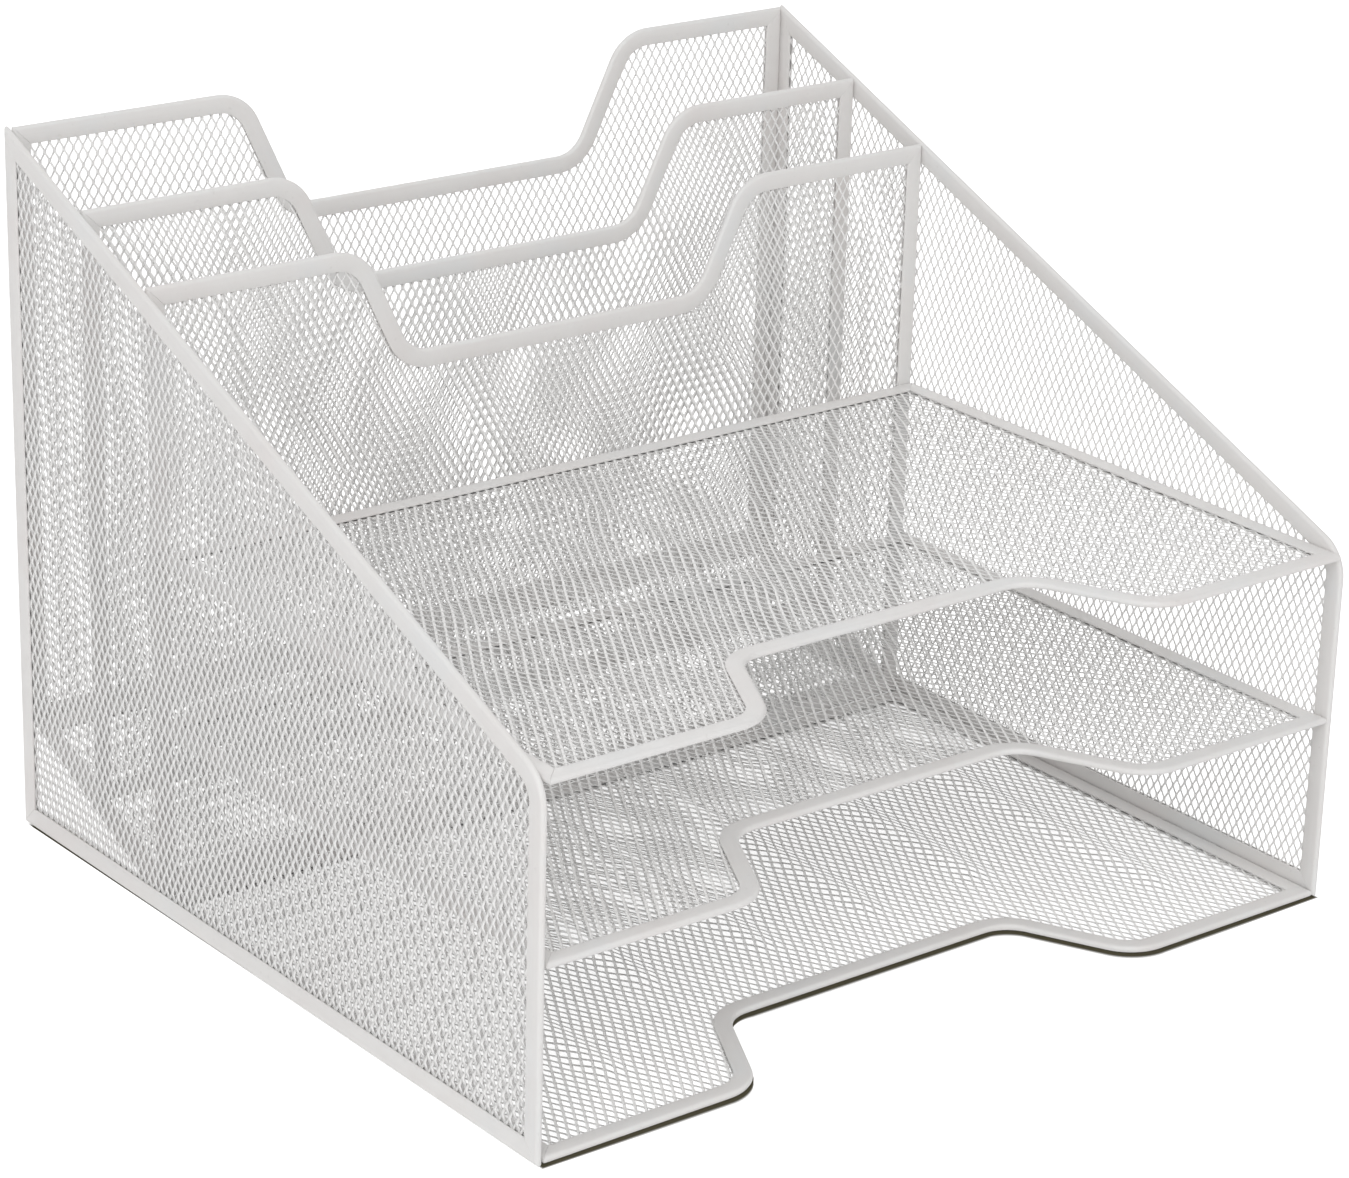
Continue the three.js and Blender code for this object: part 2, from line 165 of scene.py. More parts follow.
class OrganizerFinish(PropertyGroup):
    coat: colour("Coat", "Powder coat", (0.8, 0.786, 0.773))
    coat_warm: colour("Warm patches", "Warmer patches of the coat", (0.785, 0.755, 0.741))
    coat_cool: colour("Cool patches", "Cooler patches of the coat", (0.788, 0.788, 0.784))
    thin_coat: colour("Thin coat", "Coat where it is thin over a fold", (0.805, 0.798, 0.789))
    # Painted light: a lighter copy of the strips' coat, brightening the sheets deep inside the organizer
    sheet_coat_painted_lighter: colour("Sheet coat", "Powder coat on the expanded sheets", (0.93, 0.922, 0.912))
    dust: colour("Dust", "Specks of dust", (0.52, 0.50, 0.475))
    roughness: share("Roughness", "Roughness of the coat", 0.46)
    grain: length("Grain", "Size of the coat's orange-peel grain", 1.1)


class OrganizerStage(PropertyGroup):
    # Painted shadow: the contact shadow along the lowest strips is a colour painted into the floor, not
    # cast by lamps
    painted_contact_shadow: colour("Contact shadow", "Floor in the crevice along the lowest strips", (0.085, 0.077, 0.05))
    painted_shadow_reach: length("Contact reach", "How far the crevice's shadow reaches in front", 4.6)
    painted_shadow_sides: length("Contact sides", "How far that shadow reaches at the sides and the rear", 0.35)
    painted_shadow_taper: length("Contact taper", "Distance from a front corner at which the shadow is widest", 95)
    floor: colour("Floor", "Floor and backdrop", (0.97, 0.97, 0.97))
    floor_glow: share("Floor glow", "Light that the camera sees in the floor besides the lamps'", 0.62)
    ambient: FloatProperty(name="Ambient", description="Strength of the light from all sides", default=0.56)
    key: power("Key", "Power of the lamp high up at the front left", 11)
    left: power("Left", "Power of the lamp on the left", 5)
    front: power("Front", "Power of the low lamp in front", 2.5)
    rear: power("Rear", "Power of the lamp behind on the right", 7)


GROUPS = {
    "organizer_sheet": OrganizerSheetSizes,
    "organizer_strip": OrganizerStripSizes,
    "organizer_edge": OrganizerEdgeSizes,
    "organizer_rib": OrganizerRibSizes,
    "organizer_finish": OrganizerFinish,
    "organizer_stage": OrganizerStage,
}


# Outlines in a panel's own plane, with the inside on the left


def flat(x, y):
    return Vector((x, y))


def bent(points, radii, steps):
    """The path through points, with each corner that has a radius turned into a tangent arc."""
    path = [points[0]]
    for before, corner, after, radius in zip(points, points[1:], points[2:], radii, strict=False):
        arriving = (corner - before).normalized()
        leaving = (after - corner).normalized()
        turn = math.atan2(arriving.cross(leaving), arriving.dot(leaving))
        reach = radius * math.tan(abs(turn) / 2)
        start = corner - arriving * reach
        towards = flat(-arriving.y, arriving.x) * math.copysign(1, turn)
        centre = start + towards * radius
        for i in range(steps + 1):
            swing = turn * i / steps
            arm = Matrix.Rotation(swing, 2) @ (start - centre)
            path.append(centre + arm)
    path.append(points[-1])
    return path


def notched(left, right, level, depth, half_width, flank, crest, root, middle, steps):
    """An edge from left to right at a level, with a flat-bottomed notch in it."""
    run = abs(depth) / (2 * math.tan(flank))
    floor = level - depth
    points = [
        flat(left, level),
        flat(middle - half_width - run, level),
        flat(middle - half_width + run, floor),
        flat(middle + half_width - run, floor),
        flat(middle + half_width + run, level),
        flat(right, level),
    ]
    return bent(points, (crest, root, root, crest), steps)


def mitre_step(before, after):
    """Step inwards per metre of inset where two directions meet."""
    a = flat(-before.y, before.x)
    b = flat(-after.y, after.x)
    return (a + b) / (1 + a.dot(b))


def heading(a, b):
    return (b - a).normalized()


# Folded strips

HEM_WAVES_PER_METRE = 60
SHARP_EDGE = math.radians(50)


def strip_section(width, thickness, sizes):
    """Corners of the folded strip: inwards from the edge, and through the thickness."""
    half = thickness / 2
    radius = sizes.fold_radius
    rise = half - radius
    hem = sizes.hem_thickness / 2
    flat_end = width - sizes.hem
    inner = radius + sizes.steel / 2
    section = [(width, hem), (flat_end, half)]
    for i in range(sizes.fold_steps + 1):
        turn = math.pi * i / sizes.fold_steps
        side = rise if i <= sizes.fold_steps / 2 else -rise
        section.append((radius - radius * math.sin(turn), side + radius * math.cos(turn)))
    section.extend([(flat_end, -half), (width, -hem)])
    section.extend([(width, sizes.steel - hem), (flat_end, sizes.steel - half)])
    section.extend([(inner, sizes.steel - half), (inner, half - sizes.steel)])
    section.extend([(flat_end, half - sizes.steel), (width, hem - sizes.steel)])
    return section


def corner_rings(run, before, after, section, sizes):
    """The strip's sections at the run's own points, as (distance, corners)."""
    corners = []
    travelled = 0.0
    for i, point in enumerate(run):
        first = i == 0
        last = i == len(run) - 1
        arriving = before if first else heading(run[i - 1], point)
        leaving = after if last else heading(point, run[i + 1])
        step = mitre_step(arriving, leaving)
        spot = point.copy()
        if first or last:
            along = leaving if first else arriving
            sine = abs(along.cross(step)) / step.length
            spot += along * (sizes.seam / (2 * sine)) * (1 if first else -1)
        travelled += 0 if first else (point - run[i - 1]).length
        corners.append((travelled, [spot + step * inwards for inwards, _ in section]))
    return corners


def strip_rings(run, before, after, section, width, sizes, place):
    """Those sections with evenly spaced ones between, whose hem strays from straight."""
    corners = corner_rings(run, before, after, section, sizes)
    # Any corner of the section on its fold gives the direction inwards
    fold = len(section) // 2 - 2
    rings = [corners[0]]
    for (start, near), (end, far) in zip(corners, corners[1:], strict=False):
        pieces = max(1, math.ceil((end - start) / sizes.step))
        for i in range(1, pieces + 1):
            part = i / pieces
            ring = [a.lerp(b, part) for a, b in zip(near, far, strict=True)]
            if i < pieces:
                inwards = (ring[0] - ring[fold]).normalized()
                waves_at = place @ Vector((*ring[0], 0)) * HEM_WAVES_PER_METRE
                stray = sizes.waviness * noise.noise(waves_at)
                for k, (depth, _) in enumerate(section):
                    ring[k] += inwards * (stray if depth == width else 0)
            rings.append((start + (end - start) * part, ring))
    return rings


def strip_mesh(name, run, before, after, width, thickness, sizes, place):
    """A folded strip along a run of the outline, mitred against its neighbours."""
    section = strip_section(width, thickness, sizes)
    girth = [0.0]
    for a, b in zip(section, section[1:], strict=False):
        girth.append(girth[-1] + math.dist(a, b))
    mesh = bmesh.new()
    along_layer = mesh.verts.layers.float.new("along")
    across_layer = mesh.verts.layers.float.new("across")
    rings = []
    for travelled, corners in strip_rings(run, before, after, section, width, sizes, place):
        ring = []
        for corner, (_, through), round_it in zip(corners, section, girth, strict=True):
            vertex = mesh.verts.new(place @ Vector((corner.x, corner.y, through)))
            vertex[along_layer] = travelled
            vertex[across_layer] = round_it
            ring.append(vertex)
        rings.append(ring)
    for near, far in zip(rings, rings[1:], strict=False):
        for k in range(len(section)):
            after_k = (k + 1) % len(section)
            mesh.faces.new((near[k], near[after_k], far[after_k], far[k]))
    mesh.faces.new(reversed(rings[0]))
    mesh.faces.new(rings[-1])
    bmesh.ops.recalc_face_normals(mesh, faces=mesh.faces)
    data = bpy.data.meshes.new(name)
    mesh.to_mesh(data)
    mesh.free()
    return data


def strip_piece(node, run, before, after, width, thickness, place):
    sizes = bpy.context.scene.organizer_strip
    name = node + "_coated"
    data = strip_mesh(name, run, before, after, width, thickness, sizes, place)
    piece = add_piece(name, data, node, "strip_coat")
    data.shade_smooth()
    soften = piece.modifiers.new("Softened edges", "BEVEL")
    soften.width = sizes.softening
    soften.segments = 2
    soften.limit_method = "ANGLE"
    soften.angle_limit = SHARP_EDGE
    soften.harden_normals = True
    return piece


# Expanded sheets

WAVE_COUNT = 7
SHORTEST_WAVE = 45 * MM
LONGEST_WAVE = 140 * MM
WAVE_GAIN = 1.6
STRAY_SEEDS = (100, 200)
# Round an opening from its lower tip: lattice steps to a bond, and 0 or 1 for its lower or upper end
BONDS_AROUND = np.array(((0, -1, 1), (1, 0, 0), (1, 0, 1), (0, 1, 0), (-1, 0, 1), (-1, 0, 0)))


def edge_distance(points, outline):
    """Distance of each point from the outline, and whether it lies inside."""
    nearest = np.full(len(points), np.inf)
    inside = np.zeros(len(points), bool)
    for a, b in zip(outline, np.roll(outline, -1, axis=0), strict=True):
        side = b - a
        to_point = points - a
        part = np.clip(to_point @ side / (side @ side), 0, 1)
        nearest = np.minimum(nearest, np.linalg.norm(to_point - part[:, None] * side, axis=1))
        crosses = (a[1] > points[:, 1]) != (b[1] > points[:, 1])
        rise = np.where(crosses, b[1] - a[1] if b[1] != a[1] else 1, 1)
        meets = a[0] + (points[:, 1] - a[1]) * side[0] / rise
        inside ^= crosses & (points[:, 0] < meets)
    return nearest, inside


def slack_height(points, seed):
    """Gentle bulges of a thin sheet, mostly between -1 and 1, from a few seeded waves."""
    random = np.random.default_rng(seed)
    height = np.zeros(len(points))
    for _ in range(WAVE_COUNT):
        turn, phase = random.uniform(0, 2 * math.pi, 2)
        wave = 2 * math.pi / random.uniform(SHORTEST_WAVE, LONGEST_WAVE)
        height += np.sin(wave * (points @ (math.cos(turn), math.sin(turn))) + phase)
    return height / WAVE_COUNT * WAVE_GAIN


def smooth_step(value):
    value = np.clip(value, 0, 1)
    return value * value * (3 - 2 * value)


def openings(outline, sizes):
    """Middles of the openings inside an outline, as lattice steps, and where step 0, 0 lies."""
    half = np.array((sizes.across, sizes.along)) / 2
    low = outline.min(0)
    high = outline.max(0)
    count = np.ceil((high - low) / half).astype(int)
    start = (low + high) / 2 - half * (count // 2)
    columns, rows = np.meshgrid(np.arange(count[0] + 1), np.arange(count[1] + 1), indexing="ij")
    cells = np.stack((columns.ravel(), rows.ravel()), axis=1)
    cells = cells[cells.sum(1) % 2 == 1]
    distance, inside = edge_distance(start + cells * half, outline)
    return cells[inside & (distance > sizes.inset)], start


def strand_section(sizes, lean):
    """Where a leaning ribbon of steel has its corners: reach and height of its rim, then of its face."""
    half_width = sizes.bond_width / 2
    half_gauge = sizes.gauge / 2
    turned = math.copysign(1, lean)
    up = abs(math.sin(lean))
    flat_share = math.cos(lean)
    rim = half_width * flat_share + half_gauge * up, turned * (half_width * up - half_gauge * flat_share)
    face = turned * (half_width * flat_share - half_gauge * up), half_width * up + half_gauge * flat_share
    return *rim, *face


def lattice(outline, bond_length, lean, sizes):
    """Points in the sheet's plane, how far each stands off it, and faces, of an expanded sheet.

    A strand is a flat ribbon that leans out of the sheet. Two corners of its section are the rims of
    the openings beside it, the other two stand out on the two faces of the sheet.
    """
    cells, start = openings(outline, sizes)
    half = np.array((sizes.across, sizes.along)) / 2
    bond = bond_length / 2
    keys = np.concatenate((cells, np.zeros((len(cells), 1), int)), axis=1)
    keys = (keys[:, None, :] + BONDS_AROUND).reshape(-1, 3)
    bonds, corners = np.unique(keys, axis=0, return_inverse=True)
    sides = len(BONDS_AROUND)
    corners = corners.reshape(-1, sides)
    crest = start + bonds[:, :2] * half
    crest[:, 1] += (bonds[:, 2] * 2 - 1) * bond
    steep = (half[1] - 2 * bond) / half[0]
    tip = half[1] - bond - sizes.strand / 2 * math.hypot(1, steep)
    rim_reach, rim_height, face_reach, face_height = strand_section(sizes, lean)
    side = half[0] - rim_reach
    shoulder = tip - steep * side
    right_rim = ((0, -tip), (side, -shoulder), (side, shoulder))
    left_rim = ((0, tip), (-side, shoulder), (-side, -shoulder))
    rims = ((start + cells * half)[:, None, :] + np.array(right_rim + left_rim)).reshape(-1, 2)
    points = np.concatenate((crest - (face_reach, 0), crest + (face_reach, 0), rims))
    faces_off = np.full(len(crest), face_height)
    rims_off = np.tile((0, rim_height, rim_height, 0, -rim_height, -rim_height), len(cells))
    off = np.concatenate((faces_off, -faces_off, rims_off))
    lower = corners + len(crest)
    rim_corners = np.arange(len(rims)).reshape(-1, sides) + 2 * len(crest)
    turned = np.roll(np.arange(sides), -1)
    above = np.stack((corners, corners[:, turned], rim_corners[:, turned], rim_corners), axis=2)
    below = np.stack((rim_corners, rim_corners[:, turned], lower[:, turned], lower), axis=2)
    return points, off, np.concatenate((above.reshape(-1, 4), below.reshape(-1, 4)))


def rib_height(points, front_edge, rear_edge):
    """Height of the ribs pressed into a tray sheet."""
    ribs = bpy.context.scene.organizer_rib
    height = np.zeros(len(points))
    for i in range(ribs.count):
        x = (i - (ribs.count - 1) / 2) * ribs.pitch + ribs.shift
        start = front_edge(x) + ribs.front_margin
        end = rear_edge - ribs.rear_margin
        inwards = np.minimum(points[:, 1] - start, end - points[:, 1])
        from_crest = np.clip(np.abs(points[:, 0] - x) / (ribs.width / 2), 0, 1)
        crest = 0.5 + 0.5 * np.cos(math.pi * from_crest)
        height = np.maximum(height, ribs.height * crest * smooth_step(inwards / ribs.taper))
    return height


def sheet_piece(node, outline, place, seed, bond_length, lean, pressed=None):
    sizes = bpy.context.scene.organizer_sheet
    rim = np.array([tuple(p) for p in outline])
    points, off, faces = lattice(rim, bond_length, lean, sizes)
    distance, _ = edge_distance(points, rim)
    loose = smooth_step((distance - sizes.inset) / sizes.slack_reach)
    height = off + sizes.slack * loose * slack_height(points, seed)
    if pressed:
        height += pressed(points)
    for axis, step in enumerate(STRAY_SEEDS):
        points[:, axis] += sizes.uneven * slack_height(points, seed + step)
    corners = np.column_stack((points, height, np.ones(len(points)))) @ np.array(place).T
    name = node + "_expanded"
    data = bpy.data.meshes.new(name)
    data.from_pydata(corners[:, :3].tolist(), [], faces.tolist())
    data.shade_smooth()
    return add_piece(name, data, node, "mesh_coat")


# Panels


def add_piece(name, data, node, slot):
    piece = bpy.data.objects.new(name, data)
    bpy.context.scene.collection.objects.link(piece)
    data.materials.append(coat_material(slot))
    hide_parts(node)
    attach(piece, "root")
    return piece


def framed_panel(prefix, runs, width, thickness, place, lean, pressed=None):
    """One sheet in folded strips. Runs go round the outline: a node's ending, and its path."""
    names = list(runs)
    outline = []
    for i, name in enumerate(names):
        run = runs[name]
        previous = runs[names[i - 1]]
        following = runs[names[(i + 1) % len(names)]]
        before = heading(previous[-2], previous[-1])
        after = heading(following[0], following[1])
        strip_piece(f"{prefix}_{name}", run, before, after, width, thickness, place)
        outline.extend(run[:-1])
    node = prefix + "_mesh"
    seed = sorted(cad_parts).index(node)
    sheets = bpy.context.scene.organizer_sheet
    bond_length = sheets.tray_bond if pressed else sheets.bond
    sheet_piece(node, outline, place, seed, bond_length, lean, pressed)


def plane(across, up, origin):
    """From a panel's own plane to the row frame."""
    across = Vector(across)
    up = Vector(up)
    turned = Matrix((across, up, across.cross(up))).transposed()
    return Matrix.Translation(origin) @ turned.to_4x4()


def make_side_panel(prefix):
    edges = bpy.context.scene.organizer_edge
    steps = bpy.context.scene.organizer_strip.arc_steps
    bottom_low, bottom_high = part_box(prefix + "_bottom_strip")
    bent_low, bent_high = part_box(prefix + "_front_strip")
    front = bent_low.y
    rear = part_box(prefix + "_rear_strip")[1].y
    rear_height = bent_high.z
    runs = {
        "bottom_strip": [flat(front, 0), flat(rear, 0)],
        "rear_strip": [flat(rear, 0), flat(rear, rear_height)],
        "front_strip": bent(
            [flat(rear, rear_height), flat(front, edges.front_height), flat(front, 0)],
            (edges.bend_radius,),
            steps,
        ),
    }
    place = plane((0, 1, 0), (0, 0, 1), ((bottom_low.x + bottom_high.x) / 2, 0, 0))
    width = bottom_high.z - bottom_low.z
    thickness = bottom_high.x - bottom_low.x
    sheets = bpy.context.scene.organizer_sheet
    lean = sheets.left_lean if place.translation.x < 0 else -sheets.lean
    framed_panel(prefix, runs, width, thickness, place, lean)


def make_upright_panel(prefix, shift):
    edges = bpy.context.scene.organizer_edge
    steps = bpy.context.scene.organizer_strip.arc_steps
    low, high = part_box(prefix + "_bottom_strip")
    rail_low, rail_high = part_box(prefix + "_top_rail")
    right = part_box(prefix + "_right_strip")[1].x
    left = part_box(prefix + "_left_strip")[0].x
    width = high.z - low.z
    bottom = low.z
    top = rail_high.z
    crest = notched(
        left,
        right,
        top,
        top - rail_low.z - width,
        edges.notch_half_width,
        edges.notch_angle,
        edges.notch_crest,
        edges.notch_root,
        shift,
        steps,
    )
    runs = {
        "bottom_strip": [flat(left, bottom), flat(right, bottom)],
        "right_strip": [flat(right, bottom), flat(right, top)],
        "top_rail": crest[::-1],
        "left_strip": [flat(left, top), flat(left, bottom)],
    }
    place = plane((1, 0, 0), (0, 0, 1), (0, (low.y + high.y) / 2, 0))
    framed_panel(prefix, runs, width, high.y - low.y, place, bpy.context.scene.organizer_sheet.lean)


def make_file_floor(prefix):
    low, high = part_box(prefix + "_mesh")
    front_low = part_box(prefix + "_front_strip")[0]
    right_low, right_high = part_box(prefix + "_right_strip")
    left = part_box(prefix + "_left_strip")[0].x
    width = right_high.x - right_low.x
    strip_low, strip_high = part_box("front_divider_bottom_strip")
    thickness = strip_high.y - strip_low.y
    slope = math.atan2(high.z - low.z, high.y - low.y)
    middle = (low + high) / 2
    reach = (middle.y - front_low.y - thickness / 2 * math.sin(slope)) / math.cos(slope)
    corners = [flat(left, -reach), flat(right_high.x, -reach), flat(right_high.x, reach), flat(left, reach)]
    names = ("front_strip", "right_strip", "rear_strip", "left_strip")
    runs = {name: [corners[i], corners[(i + 1) % len(corners)]] for i, name in enumerate(names)}
    place = plane((1, 0, 0), (0, math.cos(slope), math.sin(slope)), (0, middle.y, middle.z))
    framed_panel(prefix, runs, width, thickness, place, bpy.context.scene.organizer_sheet.lean)


def tray_sizes(prefix):
    """Left, right, front and rear of a tray, its strips' width and its recess's depth."""
    rail_low, rail_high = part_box(prefix + "_front_rail")
    low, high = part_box(prefix + "_rear_strip")
    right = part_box(prefix + "_right_strip")[1].x
    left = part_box(prefix + "_left_strip")[0].x
    width = high.y - low.y
    return left, right, rail_low.y, high.y, width, rail_high.y - rail_low.y - width


def tray_runs(prefix):
    edges = bpy.context.scene.organizer_edge
    left, right, front, rear, _, depth = tray_sizes(prefix)
    rail = notched(
        left,
        right,
        front,
        -depth,
        edges.recess_half_width,
        edges.recess_angle,
        edges.recess_crest,
        edges.recess_root,
        0,
        bpy.context.scene.organizer_strip.arc_steps,
    )
    return {
        "front_rail": rail,
        "right_strip": [flat(right, front), flat(right, rear)],
        "rear_strip": [flat(right, rear), flat(left, rear)],
        "left_strip": [flat(left, rear), flat(left, front)],
    }


def make_tray(prefix):
    edges = bpy.context.scene.organizer_edge
    _, _, front, rear, width, depth = tray_sizes(prefix)
    low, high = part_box(prefix + "_rear_strip")
    recess_reach = edges.recess_half_width + edges.recess_crest

    def front_edge(x):
        return front + (depth if abs(x) < recess_reach else 0)

    place = plane((1, 0, 0), (0, 1, 0), (0, 0, (low.z + high.z) / 2))
    ribbed = partial(rib_height, front_edge=front_edge, rear_edge=rear)
    lean = bpy.context.scene.organizer_sheet.tray_lean
    framed_panel(prefix, tray_runs(prefix), width, high.z - low.z, place, lean, ribbed)


# Powder coat

COAT_NAMES = {
    "strip_coat": "Powder coat on folded strips",
    "mesh_coat": "Powder coat on expanded sheets",
}
COAT_IOR = 1.5
PATCH_SIZE = 38 * MM
SPECK_SIZE = 2.2 * MM
SHEEN_SIZE = 9 * MM
WEAR_SIZE = 14 * MM
# Drawing lines in a metre along a strip and in a metre across it
LINES_ALONG = 26.0
LINES_ACROSS = 1100.0
# Between which values of their noise these marks come up
WARM_RANGE = (0.5, 0.72)
COOL_RANGE = (0.5, 0.3)
SPECK_RANGE = (0.66, 0.78)
SHEEN_RANGE = (0.3, 0.7)
LINE_RANGE = (0.42, 0.75)
WEAR_RANGE = (0.48, 0.68)
SMOOTHER_BY = 0.07
ROUGHER_BY = 0.1
LINE_SHARE = 0.35
GRAIN_HEIGHT = 0.6
LINE_HEIGHT = 0.7
# How far the worn fold's edge is blurred onto the leg and into the fold
BLUR_OUTSIDE = 0.5 * MM
BLUR_INSIDE = 0.7 * MM
# Blender's Mix node has sockets for every kind of value: these are the ones for numbers and colours
NUMBER_SOCKETS = (2, 3)
COLOUR_SOCKETS = (6, 7)
COLOUR_RESULT = 2


class Nodes:
    """A material's node tree, with short calls for the nodes that the coat and the floor use."""

    def __init__(self, tree):
        self.tree = tree
        tree.nodes.clear()

    def add(self, kind, inputs=None, **settings):
        node = self.tree.nodes.new(kind)
        for key, value in settings.items():
            setattr(node, key, value)
        for key, value in (inputs or {}).items():
            self.feed(node.inputs[key], value)
        return node

    def feed(self, socket, value):
        if isinstance(value, bpy.types.NodeSocket):
            self.tree.links.new(value, socket)
        else:
            socket.default_value = value

    def noise(self, vector, scale, detail=2.0, roughness=0.5):
        inputs = {"Vector": vector, "Scale": scale, "Detail": detail, "Roughness": roughness}
        return self.add("ShaderNodeTexNoise", inputs).outputs["Fac"]

    def ramp(self, value, low, high, to_low=0.0, to_high=1.0):
        inputs = {"Value": value, "From Min": low, "From Max": high, "To Min": to_low, "To Max": to_high}
        return self.add("ShaderNodeMapRange", inputs, interpolation_type="SMOOTHSTEP").outputs["Result"]

    def mix(self, factor, a, b):
        node = self.add("ShaderNodeMix", data_type="RGBA")
        self.feed(node.inputs[0], factor)
        for socket, value in zip(COLOUR_SOCKETS, (a, b), strict=True):
            self.feed(node.inputs[socket], value)
        return node.outputs[COLOUR_RESULT]

    def math(self, operation, a, b):
        node = self.add("ShaderNodeMath", operation=operation)
        self.feed(node.inputs[0], a)
        self.feed(node.inputs[1], b)
        return node.outputs[0]


def rgba(value):
    return (*value, 1.0)


def coat_material(slot):
    """The powder coat of the strips or of the sheets, made once for each."""
    name = COAT_NAMES[slot]
    if name in bpy.data.materials:
        return bpy.data.materials[name]
    finish = bpy.context.scene.organizer_finish
    material = bpy.data.materials.new(name)
    material.use_nodes = True
    nodes = Nodes(material.node_tree)
    place = nodes.add("ShaderNodeTexCoord").outputs["Object"]
    grain = nodes.noise(place, 1 / finish.grain, detail=3, roughness=0.55)
    if slot == "strip_coat":
        base = coat_colour(nodes, finish, place, finish.coat, patch_share=1.0, speck_share=0.2)
        base, height = strip_marks(nodes, finish, place, base, grain)
        strength = 0.22
        distance = 0.12 * MM
    else:
        # Painted light: the sheets take a lighter copy of the same coat, brightening them inside the
        # organizer
        base = coat_colour(nodes, finish, place, finish.sheet_coat_painted_lighter, patch_share=0.2, speck_share=0.08)
        height = grain
        strength = 0.15
        distance = 0.06 * MM
    sheen = nodes.noise(place, 1 / SHEEN_SIZE, detail=4, roughness=0.6)
    smoothest = finish.roughness - SMOOTHER_BY
    roughest = finish.roughness + ROUGHER_BY
    roughness = nodes.ramp(sheen, *SHEEN_RANGE, smoothest, roughest)
    bump = nodes.add("ShaderNodeBump", {"Strength": strength, "Distance": distance, "Height": height})
    shader = nodes.add(
        "ShaderNodeBsdfPrincipled",
        {"Base Color": base, "Roughness": roughness, "Normal": bump.outputs["Normal"], "IOR": COAT_IOR},
    )
    nodes.add("ShaderNodeOutputMaterial", {"Surface": shader.outputs["BSDF"]})
    return material


def coat_colour(nodes, finish, place, coat, patch_share, speck_share):
    """A coat with warmer and cooler patches and specks of dust."""
    patches = nodes.noise(place, 1 / PATCH_SIZE, detail=3, roughness=0.55)
    warm = nodes.ramp(patches, *WARM_RANGE, 0, patch_share)
    cool = nodes.ramp(patches, *COOL_RANGE, 0, patch_share)
    specks = nodes.ramp(nodes.noise(place, 1 / SPECK_SIZE), *SPECK_RANGE, 0, speck_share)
    base = nodes.mix(warm, rgba(coat), rgba(finish.coat_warm))
    base = nodes.mix(cool, base, rgba(finish.coat_cool))
    return nodes.mix(specks, base, rgba(finish.dust))


def strip_marks(nodes, finish, place, base, grain):
    """Drawing lines along a strip, thin coat over its fold, and the height of the lines and grain."""
    along = nodes.add("ShaderNodeAttribute", attribute_name="along").outputs["Fac"]
    across = nodes.add("ShaderNodeAttribute", attribute_name="across").outputs["Fac"]
    spread = nodes.add("ShaderNodeCombineXYZ")
    nodes.feed(spread.inputs["X"], nodes.math("MULTIPLY", along, LINES_ALONG))
    nodes.feed(spread.inputs["Y"], nodes.math("MULTIPLY", across, LINES_ACROSS))
    lines = nodes.noise(spread.outputs["Vector"], 1.0, detail=3, roughness=0.6)
    drawn = nodes.ramp(lines, *LINE_RANGE, 0, LINE_SHARE)
    base = nodes.mix(drawn, base, rgba(finish.coat_warm))
    worn = nodes.ramp(nodes.noise(place, 1 / WEAR_SIZE, detail=3, roughness=0.6), *WEAR_RANGE)
    worn_fold = nodes.math("MULTIPLY", worn, fold_mask(nodes, across))
    base = nodes.mix(worn_fold, base, rgba(finish.thin_coat))
    grained = nodes.math("MULTIPLY", grain, GRAIN_HEIGHT)
    height = nodes.math("ADD", grained, nodes.math("MULTIPLY", lines, LINE_HEIGHT))
    return base, height


def fold_mask(nodes, across):
    """1 on the folded edge and 0 on the legs, from the distance round the section."""
    low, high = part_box("front_divider_bottom_strip")
    radius = bpy.context.scene.organizer_strip.fold_radius
    start = high.z - low.z - radius
    end = start + math.pi * radius
    entering = nodes.ramp(across, start - BLUR_OUTSIDE, start + BLUR_INSIDE)
    leaving = nodes.ramp(across, end + BLUR_OUTSIDE, end - BLUR_INSIDE)
    return nodes.math("MULTIPLY", entering, leaving)


# Stage

CAMERA_PLACE = Vector((-821.7, -1036.0, 610.6)) * MM
CAMERA_RIGHT = Vector((0.78654, -0.61693, 0.02764))
CAMERA_DOWN = Vector((-0.19929, -0.29594, -0.93419))
CAMERA_FORWARD = Vector((0.5845, 0.72926, -0.35572))
CAMERA_LENS = 112.44
CAMERA_SENSOR = 36
CAMERA_SHIFT = (-0.01364, -0.0160)
CAMERA_CLIP = (0.05, 50)
FLOOR_SIDE = 12.0
FLOOR_DROP = 0.05 * MM
SAME_POINT = 1e-7
# The painted contact shadow on the floor: it starts under the strips, is full from their edge over a share
# of its reach, narrows towards the front corners and ends short of the rear ones
PAINTED_SHADOW_START = 4 * MM
PAINTED_SHADOW_EDGE = 1 * MM
PAINTED_SHADOW_CORE = 0.35
CORNER_SHARE = 0.65
CORNER_FADE = 6 * MM
# By the setting with a lamp's power: its name, its size and where it stands from the object's middle
LAMPS = {
    "key": ("Key softbox", 1.8, (-0.8, -1.15, 1.65)),
    "left": ("Left softbox", 1.2, (-1.5, -1.0, 0.75)),
    "front": ("Front softbox", 1.2, (-0.7, -1.7, 0.2)),
    "rear": ("Rear softbox", 1.8, (0.9, 1.7, 0.9)),
}


def make_camera():
    data = bpy.data.cameras.new("Photograph camera")
    data.sensor_width = CAMERA_SENSOR
    data.lens = CAMERA_LENS
    data.shift_x, data.shift_y = CAMERA_SHIFT
    data.clip_start, data.clip_end = CAMERA_CLIP
    camera = bpy.data.objects.new("Photograph camera", data)
    turned = Matrix((CAMERA_RIGHT, -CAMERA_DOWN, -CAMERA_FORWARD)).transposed()
    camera.matrix_world = Matrix.Translation(CAMERA_PLACE) @ turned.to_4x4()
    bpy.context.scene.collection.objects.link(camera)
    bpy.context.scene.camera = camera


